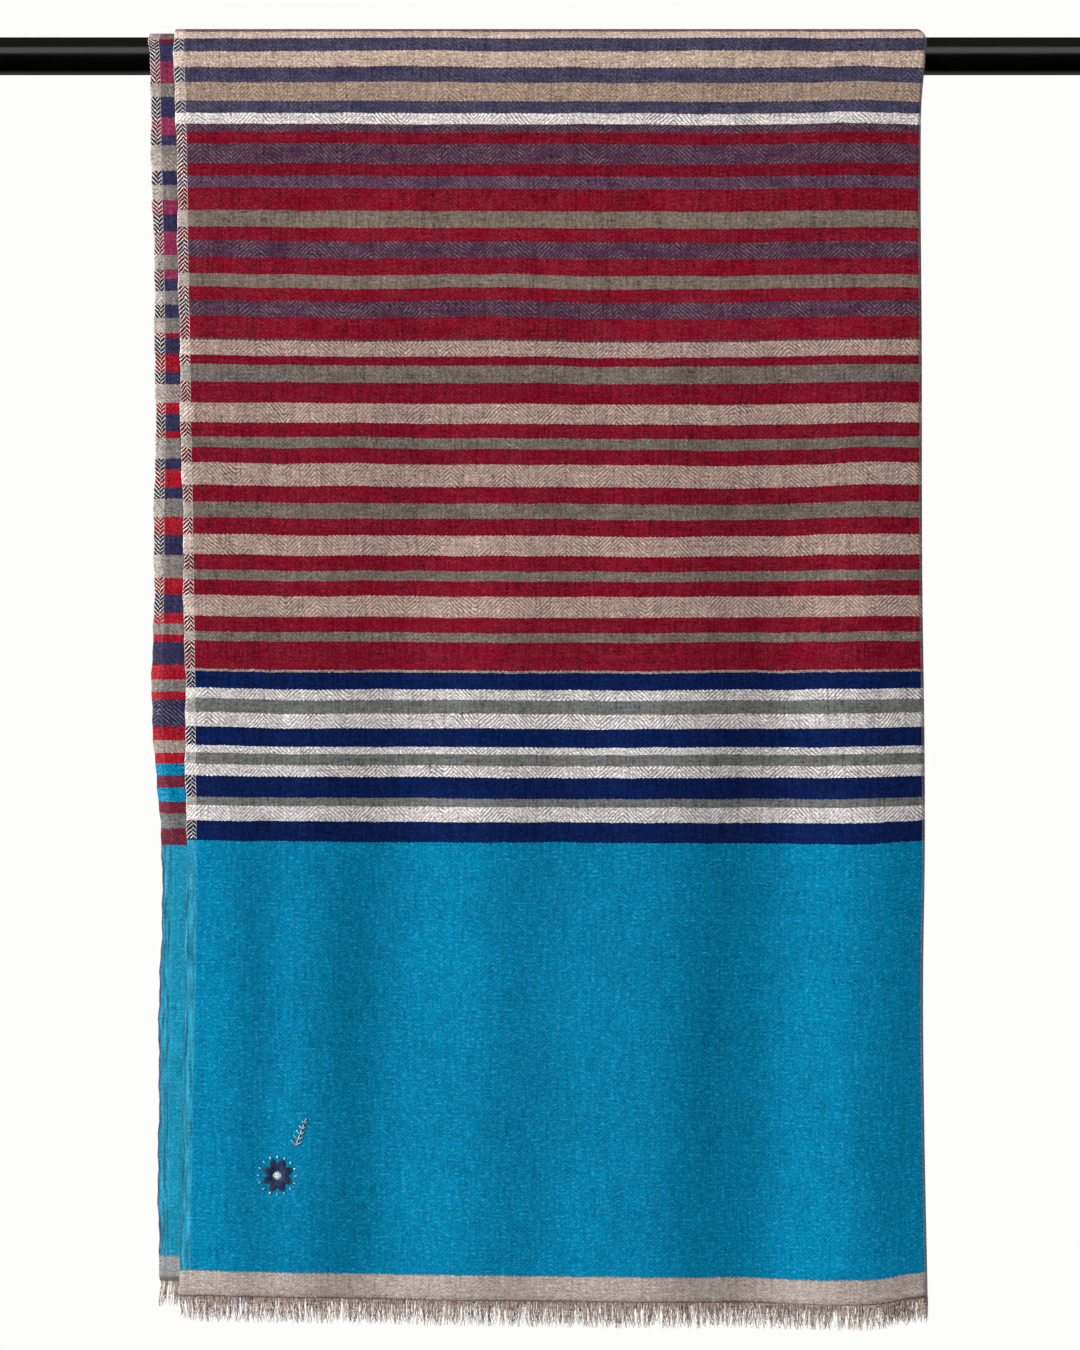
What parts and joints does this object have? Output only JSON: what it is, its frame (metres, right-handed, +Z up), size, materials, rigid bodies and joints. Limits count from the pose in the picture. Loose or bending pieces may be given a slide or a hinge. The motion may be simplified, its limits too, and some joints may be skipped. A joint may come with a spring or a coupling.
{
  "type": "striped pashmina scarf draped on a rail",
  "caption": "Striped woven wool shawl, folded lengthwise and hung over a round black rail, with a short fringe at each end.",
  "frame": {"origin": "middle of the rail's axis, where the rail is held", "axes": "+X along the rail towards the shawl's lengthwise fold, -Y towards the shawl's front, +Z up"},
  "size_m": [0.92, 0.0563, 1.0006],
  "materials": {
    "rail_black": "satin black",
    "striped_wool": "fine twill with a soft sheen, in many stripes",
    "fringe_wool": "matt"
  },
  "bodies": {
    "root": {"rail": "rail_black", "scarf_front_drop": "striped_wool", "scarf_over_rail": "striped_wool", "scarf_back_drop": "striped_wool", "fringe_front": "fringe_wool", "fringe_back": "fringe_wool"}
  },
  "joints": []
}
